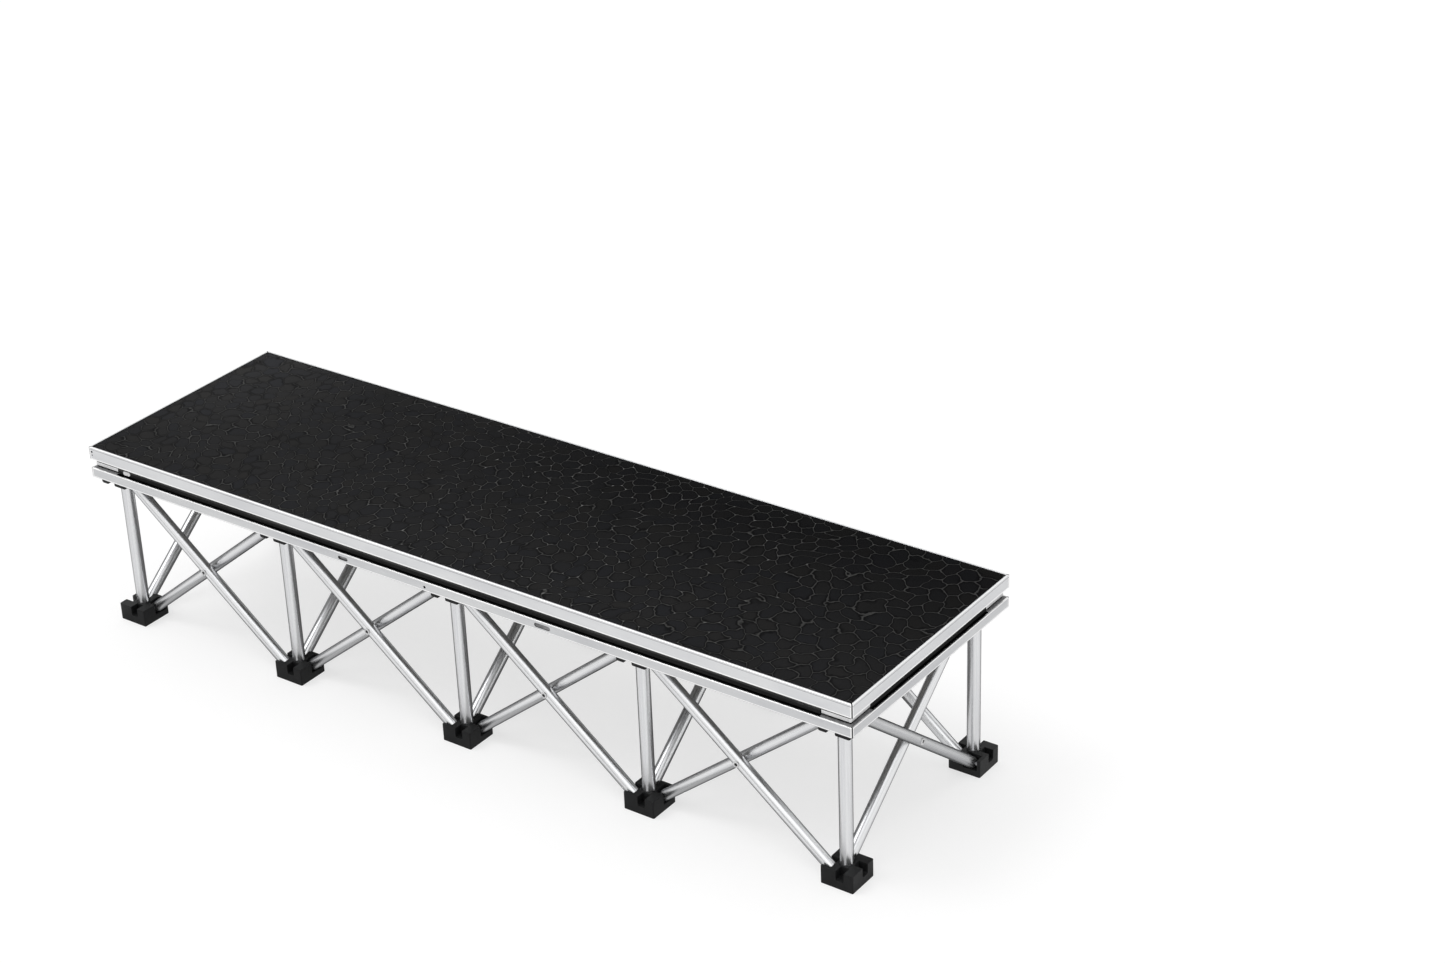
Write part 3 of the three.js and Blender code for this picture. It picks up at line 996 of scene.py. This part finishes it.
def block_mesh(braced_faces, socket_floor, mouth_flare=0, top_round=0):
    half = HUB_WIDTH / 2
    corners = [(-half, -half), (half, -half), (half, half), (-half, half)]
    outline = rounded_outline([(x, y, HUB_CORNER_ROUND) for x, y in corners])
    piece = prism("block", outline, 0, hub_height)
    socket = ring_outline(SOCKET_RADIUS, TUBE_SEGMENTS)
    cutters = [prism("socket", socket, socket_floor, 2 * hub_height)]
    cutters += [pocket_cutter(face in braced_faces, face, mouth_flare) for face in range(FACE_COUNT)]
    if top_round:
        cutters += [corner_cutter(top_round, face) for face in (0, 2)]
    cut(piece, cutters)
    round_edges(piece, HUB_EDGE_ROUND)
    smooth(piece)
    add_materials(piece, black_plastic)
    return piece


def pins_mesh(braced_faces):
    """The pins of a block, one across each wide pocket, as one mesh of separate bars."""
    joined = bmesh.new()
    for face in sorted(braced_faces):
        pin = bar_along_y("pin", PIN_RADIUS, PIN_REACH, POCKET_EDGE - PIN_EMBEDDING,
                          POCKET_EDGE + WIDE_POCKET_WIDTH + PIN_EMBEDDING)
        pin.data.transform(Matrix.Translation((0, 0, PIN_HEIGHT)))
        turn_to(face, pin)
        joined.from_mesh(pin.data)
        bpy.data.objects.remove(pin)
    mesh = bpy.data.meshes.new("pins")
    joined.to_mesh(mesh)
    joined.free()
    piece = add_object("pins", mesh)
    smooth(piece)
    add_materials(piece, pin_and_hole_shade_metal)
    return piece


def braced_faces_of(number, holds_rising):
    """Faces of a block that carry a brace. Face 1 carries the rising depth brace where the block
    holds it, and face 3 the falling one, in the end columns."""
    faces = {0} if number < COLUMN_COUNT else set()
    faces |= {2} if number > 1 else set()
    if holds_rising:
        faces.add(1)
    elif number in (1, COLUMN_COUNT):
        faces.add(3)
    return frozenset(faces)


patterns = {}


def pattern_for(kind, make, faces, *shape):
    if (kind, faces) not in patterns:
        patterns[kind, faces] = make(faces, *shape)
    return patterns[kind, faces]


def add_block(kind, node_name, station, faces, matrix, *shape):
    """A block with its pins, as a copy of the pattern of its kind with the same faces."""
    body = body_of[node_name]
    block = pattern_for(kind, block_mesh, faces, *shape)
    pins = pattern_for("pins", pins_mesh, faces)
    dress(copy_of(block, f"{kind}_block_{station}", matrix), body, "black_plastic", node_name)
    dress(copy_of(pins, f"{kind}_pins_{station}", matrix), body, "tube_aluminium")


upside_down = Matrix.Rotation(math.pi, 4, "X")
for row, y in row_y.items():
    for number, x in enumerate(column_x, 1):
        station = f"{row}_{number}"
        add_block("foot", f"foot_{station}", station, braced_faces_of(number, row == "front"),
                  Matrix.Translation((x, y, 0)), FOOT_SOCKET_FLOOR)
        add_block("hub", f"top_hub_{station}", station, braced_faces_of(number, row == "rear"),
                  Matrix.Translation((x, y, hub_high.z)) @ upside_down,
                  hub_height - TOP_SOCKET_DEPTH, TOP_HUB_FLARE, TOP_HUB_ROUND)
for pattern in patterns.values():
    bpy.data.objects.remove(pattern)


# Deck frame

scribe_height = rail_height - SCRIBE_DROP


def rail_outline():
    return rounded_outline([
        (0, 0, OUTER_ROUND),
        (SKIRT_DEPTH, 0, INNER_ROUND),
        (SKIRT_DEPTH, bearing_height, 0),
        (BEARING_DEPTH, bearing_height, INNER_ROUND),
        (BEARING_DEPTH, ledge_height, INNER_ROUND),
        (LIP_WIDTH, ledge_height, 0),
        (LIP_WIDTH, rail_height, INNER_ROUND),
        (BRIGHT_RIM, rail_height, 0),
        (0, rail_height, OUTER_ROUND),
        (0, scribe_height + SCRIBE_HALF_HEIGHT, 0),
        (SCRIBE_DEPTH, scribe_height, 0),
        (0, scribe_height - SCRIBE_HALF_HEIGHT, 0),
        (0, groove_top + BRIGHT_EDGE, 0),
        (0, groove_top, INNER_ROUND),
        (GROOVE_DEPTH, groove_top, 0),
        (GROOVE_DEPTH, LOWER_BAND_HEIGHT, 0),
        (BRIGHT_LEDGE, LOWER_BAND_HEIGHT, 0),
        (0, LOWER_BAND_HEIGHT, OUTER_ROUND),
        (0, LOWER_BAND_HEIGHT - BRIGHT_RIM, 0),
        (0, BRIGHT_EDGE, 0),
    ])


def rail_face(inward, height):
    """The material of a rail's face whose middle lies there in the profile. Strips along the edges take
    bright metal, painted highlights. The lower band, the lip's top and the inner faces take a darker
    copy of the band metal. The scribed line, the bottom edge and the groove take darker metal and the
    near-black coat. All of these are painted shade.
    """
    in_groove = LOWER_BAND_HEIGHT - SEAT_GAP < height < groove_top + SEAT_GAP
    if BRIGHT_LEDGE < inward < GROOVE_DEPTH + SEAT_GAP and in_groove:
        return DARK if inward > GROOVE_DEPTH - SEAT_GAP else LINE_SHADE
    if inward > LIP_WIDTH:
        return LOWER
    if abs(height - scribe_height) < SCRIBE_HALF_HEIGHT or height < OUTER_ROUND:
        return LINE_SHADE
    if inward > BRIGHT_RIM and height > groove_top + BRIGHT_EDGE:
        return LOWER
    in_rim = LOWER_BAND_HEIGHT - BRIGHT_RIM < height < groove_top + BRIGHT_EDGE
    if height < BRIGHT_EDGE or in_rim or inward > 0:
        return EDGE_HIGHLIGHT
    return UPPER if height > groove_top else LOWER


def rail_piece(name, half, reach, turn):
    """A rail along its own X, its outer face towards -Y, mitred at both ends, then turned about the
    middle of the deck. Next to each mitre its outer face has a dark strip, painted shade of the seam,
    and then a bright stripe, painted highlight."""
    outline = rail_outline()
    count = len(outline)
    points = []
    for side, setback in ((-1, 0), (-1, SEAM_WIDTH), (-1, END_STRIPE),
                          (1, END_STRIPE), (1, SEAM_WIDTH), (1, 0)):
        sunk = 0 if setback else SEAM_CHAMFER
        for inward, height in outline:
            end = side * (half - inward - MITRE_GAP - setback)
            points.append((end, max(inward, sunk) - reach, rail_base + min(height, rail_height - sunk)))
    faces = [tuple(range(count)), tuple(reversed(range(len(points) - count, len(points))))]
    materials = [SAWN_AND_SHADE, SAWN_AND_SHADE]
    for start, end_material in zip(range(0, len(points) - count, count),
                                   (SAWN_AND_SHADE, EDGE_HIGHLIGHT, None, EDGE_HIGHLIGHT, SAWN_AND_SHADE)):
        for i in range(count):
            j = (i + 1) % count
            faces.append((start + i, start + i + count, start + j + count, start + j))
            inward, height = (Vector(outline[i]) + Vector(outline[j])) / 2
            material = rail_face(inward, height)
            if end_material is not None and inward < LIP_WIDTH and material != LINE_SHADE:
                material = end_material
            materials.append(material)
    piece = mesh_from(name, points, faces)
    piece.data.polygons.foreach_set("material_index", materials)
    face_outwards(piece)
    piece.matrix_world = Matrix.Rotation(turn, 4, "Z")
    return piece


def front_cutters():
    """The two slots and the small hole in the front rail's lower band, and two screw holes at
    its left end."""
    # The slots' walls take the dark sawn metal and the holes' walls the near-black coat: painted shade
    # of their depth
    holes = [(x, rail_base + up, depth, stadium(length, height), SAWN_AND_SHADE)
             for x, up, length, height, depth in SLOTS]
    holes.append((HOLE_X, rail_base + HOLE_HEIGHT, HOLE_DEPTH,
                  ring_outline(HOLE_RADIUS, PIN_SEGMENTS), DARK))
    for drop, radius in SCREWS:
        holes.append((SCREW_INSET - half_length, stage_height - drop, SCREW_DEPTH,
                      ring_outline(radius, PIN_SEGMENTS), DARK))
    cutters = []
    for x, z, depth, shape, material in holes:
        cutter = prism("hole", moved(shape, x, z),
                       -half_width - HOLE_DEPTH, depth - half_width, (0, 2, 1))
        for face in cutter.data.polygons:
            face.material_index = material
        cutters.append(cutter)
    return cutters


rails = {edge: rail_piece(f"{edge}_edge", *place) for edge, place in EDGES.items()}
cut(rails["front"], front_cutters())
for edge, piece in rails.items():
    add_materials(piece, band_metal, shaded_band_metal, edge_highlight_metal, line_shade_metal, recess_shade_coat, sawn_metal_and_painted_shade)
    smooth(piece)
    dress(piece, "deck", "band_aluminium", f"{edge}_rail")


def recess_shade_piece(name, x, up, depth, outline, material):
    """A dark sheet at the bottom of a slot or hole in the front rail: painted shade of its depth."""
    bottom = depth - half_width
    placed = moved(outline, x, rail_base + up)
    piece = prism(name, placed, bottom - SLOT_SHADE_THICKNESS, bottom + SEAT_GAP, (0, 2, 1))
    smooth(piece)
    add_materials(piece, material)
    dress(piece, "deck", "band_aluminium")


# Sheets at the bottom of the slots and the hole: painted shade of their depth
for index, (x, up, length, height, depth) in enumerate(SLOTS, 1):
    recess_shade_piece(f"slot_shade_sheet_{index}", x, up, depth,
                stadium(length - SEAT_GAP, height - SEAT_GAP), slot_painted_shade)
recess_shade_piece("hole_shade_sheet", HOLE_X, HOLE_HEIGHT, HOLE_DEPTH,
            ring_outline(HOLE_RADIUS - SEAT_GAP / 2, PIN_SEGMENTS), pin_and_hole_shade_metal)


# Corner keys: an L in plan, one at each corner, its arms along both grooves

def key_layer(name, mirrors, setback, arm, low, high, material):
    """One layer of a key. A layer of key metal has rounded edges in bright metal, painted highlights.
    """
    corners = [(setback, setback), (arm, setback), (arm, GROOVE_DEPTH),
               (GROOVE_DEPTH, GROOVE_DEPTH), (GROOVE_DEPTH, arm), (setback, arm)]
    placed = [(mirrors[0] * (x - half_length), mirrors[1] * (y - half_width)) for x, y in corners]
    piece = prism(name, placed, low, high)
    add_materials(piece, material, edge_highlight_metal)
    if material is key_metal:
        round_edges(piece, KEY_EDGE_ROUND, slot=1)
    smooth(piece)
    dress(piece, "deck", "band_aluminium")


def add_key(name, mirrors):
    """A key of three layers, with a thin grey sheet on the ledge below it, painted shade of the gap
    under the key.
    """
    high = stage_height - UPPER_BAND_HEIGHT - SEAT_GAP
    for layer, height, inset, material in (
            ("top", KEY_TOP_HEIGHT, 0, key_metal),
            # The neck is recessed and takes the near-black coat: a painted shade line under the band
            # above
            ("neck", KEY_NECK_HEIGHT, KEY_NECK_INSET, recess_shade_coat),
            ("arms", KEY_ARM_HEIGHT, 0, key_metal)):
        key_layer(f"{name}_{layer}", mirrors, KEY_SETBACK + inset, KEY_LENGTH - inset,
                  high - height, high, material)
        high -= height
    low = rail_base + LOWER_BAND_HEIGHT + SEAT_GAP
    key_layer(f"{name}_ledge_shade", mirrors, BRIGHT_LEDGE, KEY_LENGTH, low, low + LEDGE_SHADE_THICKNESS, ledge_painted_shade)


for end_name, mirror_x in (("left", 1), ("right", -1)):
    for side_name, mirror_y in (("front", 1), ("rear", -1)):
        add_key(f"{side_name}_{end_name}_key", (mirror_x, mirror_y))


# Strips at the back of the groove, and thin dark sheets on its ledge, painted shade of the groove

def groove_piece(name, outline, half, turn, material, *nodes):
    piece = prism(name, outline, -half, half, axes=(1, 2, 0))
    piece.matrix_world = Matrix.Rotation(turn, 4, "Z")
    smooth(piece)
    add_materials(piece, material)
    dress(piece, "deck", "loop_strip", *nodes)


def add_strip(edge, half, reach, turn):
    back = GROOVE_DEPTH - SEAT_GAP - reach
    face = back - STRIP_THICKNESS
    low, high = groove_middle - STRIP_HEIGHT / 2, groove_middle + STRIP_HEIGHT / 2
    corner = STRIP_THICKNESS / 3
    outline = rounded_outline([
        (face, low, corner), (back, low, 0), (back, high, 0), (face, high, corner)])
    nodes = (f"{edge}_strip",) if edge in ROWS else ()
    groove_piece(f"{edge}_loop_strip", outline, half - KEY_LENGTH - STRIP_END_GAP, turn,
                 strip_pile_and_painted_light, *nodes)


def add_groove_shade_sheet(edge, half, reach, turn):
    """A dark sheet on the groove's ledge, painted shade of the groove. It lies behind the ledge's
    bright front edge, a painted highlight.
    """
    low = rail_base + LOWER_BAND_HEIGHT + SEAT_GAP
    high = low + GROOVE_SHADE_THICKNESS
    front, back = BRIGHT_LEDGE - reach, GROOVE_DEPTH - SEAT_GAP - reach
    outline = [(front, low), (back, low), (back, high), (front, high)]
    groove_piece(f"{edge}_groove_shade_sheet", outline, half - KEY_LENGTH - SEAT_GAP, turn, recess_shade_coat)


for edge, place in EDGES.items():
    add_groove_shade_sheet(edge, *place)
    add_strip(edge, *place)


# Fasteners on the front strip: a bright oval one near its left end, two small dark ones near its
# right end

def fastener_piece(name, x, drop, length, height, relief, material):
    face = GROOVE_DEPTH - SEAT_GAP - STRIP_THICKNESS - half_width
    placed = moved(stadium(length, height), x, stage_height - UPPER_BAND_HEIGHT - drop)
    piece = prism(name, placed, face - relief, face + SEAT_GAP, (0, 2, 1))
    round_edges(piece, relief / 2, steps=4)
    smooth(piece)
    add_materials(piece, material)
    dress(piece, "deck", "band_aluminium")


fastener_piece("oval_fastener", *OVAL_FASTENER, key_metal)
for index, places in enumerate(DARK_FASTENERS, 1):
    fastener_piece(f"dark_fastener_{index}", *places, sawn_metal_and_painted_shade)


# Deck board

def add_board():
    low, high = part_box("deck_panel")
    corners = [(low.x, low.y), (high.x, low.y), (high.x, high.y), (low.x, high.y)]
    piece = prism("deck_board", corners, low.z, high.z)
    round_edges(piece, BOARD_EDGE_ROUND, steps=3)
    smooth(piece)
    add_materials(piece, board_film, sealed_edge_and_gap_shade, pale_underside)
    dress(piece, "deck", "deck_board", "deck_panel")
    # The sides and rounded edges take the near-black sealed edge coat, partly painted shade of the gap
    # to the lip
    for face in piece.data.polygons:
        if abs(face.normal.z) < TOP_FACE_SLOPE:
            face.material_index = SEALED_AND_GAP_SHADE
        else:
            face.material_index = FILM if face.normal.z > 0 else UNDERSIDE


add_board()


# Studio: a pale floor that fills the view, a pale world, two soft suns, and cards that only
# reflections see. The floor and the cards follow the middle rear foot, so that the riser stands on
# the floor when it is folded too

def emptied(owner, output_kind):
    """Clears the owner's nodes and gives the socket that its new surface goes into."""
    owner.use_nodes = True
    owner.node_tree.nodes.clear()
    return node(owner, output_kind).inputs["Surface"]


def seen_directly(owner):
    """One where a ray comes from the camera, or from a glossy or clear surface."""
    paths = node(owner, "ShaderNodeLightPath").outputs
    total = paths["Is Camera Ray"]
    for name in ("Is Glossy Ray", "Is Transmission Ray"):
        total = calculate(owner, "ADD", total, paths[name])
        total.node.use_clamp = True
    return total


def joined_shaders(owner, kind, first, second):
    """The two shaders in the last two inputs of a node that adds or mixes them."""
    made = node(owner, kind)
    feed(owner, first.outputs[0], made.inputs[-2])
    feed(owner, second.outputs[0], made.inputs[-1])
    return made


def flat_sheet(name, middle, across, up):
    """A four-cornered sheet about its middle. across and up are its half sides."""
    corners = [middle + a * across + b * up for a, b in ((-1, -1), (1, -1), (1, 1), (-1, 1))]
    sheet = mesh_from(name, corners, [(0, 1, 2, 3)])
    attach(sheet, STANDING_BODY)
    return sheet


def add_floor():
    half = FLOOR_SIZE / 2
    middle = Vector((0, 0, -FLOOR_DROP))
    floor = flat_sheet("floor", middle, Vector((half, 0, 0)), Vector((0, half, 0)))
    material = bpy.data.materials.new("floor_white")
    surface = emptied(material, "ShaderNodeOutputMaterial")
    matt = node(material, "ShaderNodeBsdfDiffuse", Color=(FLOOR_ALBEDO, FLOOR_ALBEDO, FLOOR_ALBEDO, 1))
    glow = node(material, "ShaderNodeEmission", Color=WHITE)
    feed(material, product(material, seen_directly(material), FLOOR_GLOW), glow.inputs["Strength"])
    both = joined_shaders(material, "ShaderNodeAddShader", matt, glow)
    feed(material, both.outputs[0], surface)
    add_materials(floor, material)


def add_world():
    world = bpy.data.worlds.new("studio")
    surface = emptied(world, "ShaderNodeOutputWorld")
    light = node(world, "ShaderNodeBackground", Color=WHITE, Strength=WORLD_LEVEL)
    backdrop = node(world, "ShaderNodeBackground", Color=WHITE, Strength=1)
    mixed = joined_shaders(world, "ShaderNodeMixShader", light, backdrop)
    feed(world, seen_directly(world), mixed.inputs["Fac"])
    feed(world, mixed.outputs[0], surface)
    bpy.context.scene.world = world


def add_sun(name, coming_from, breadth, strength):
    lamp = bpy.data.lights.new(name, "SUN")
    lamp.angle = math.radians(breadth)
    lamp.energy = strength
    holder = add_object(name, lamp)
    holder.rotation_euler = (-Vector(coming_from)).to_track_quat("-Z", "Y").to_euler()


def add_card(name, middle, facing, width, height, level):
    """A flat card that only reflections see: dark as a flag or as painted shade of the floor, or bright
    as a soft box. Its width runs level."""
    out = (Vector(facing) - Vector(middle)).normalized()
    across = Vector((0, 0, 1)).cross(out).normalized()
    if not across.length:
        across = Vector((1, 0, 0))
    card = flat_sheet(name, Vector(middle), across * width / 2, out.cross(across) * height / 2)
    material = bpy.data.materials.new(name)
    surface = emptied(material, "ShaderNodeOutputMaterial")
    glow = node(material, "ShaderNodeEmission", Color=WHITE, Strength=level)
    feed(material, glow.outputs[0], surface)
    add_materials(card, material)
    for ray in ("camera", "diffuse", "transmission", "volume_scatter", "shadow"):
        setattr(card, f"visible_{ray}", False)


add_floor()
add_world()
for name, sun in SUNS.items():
    add_sun(name, *sun)
for name, card in CARDS.items():
    add_card(name, *card)

bpy.context.scene.view_settings.view_transform = "Standard"
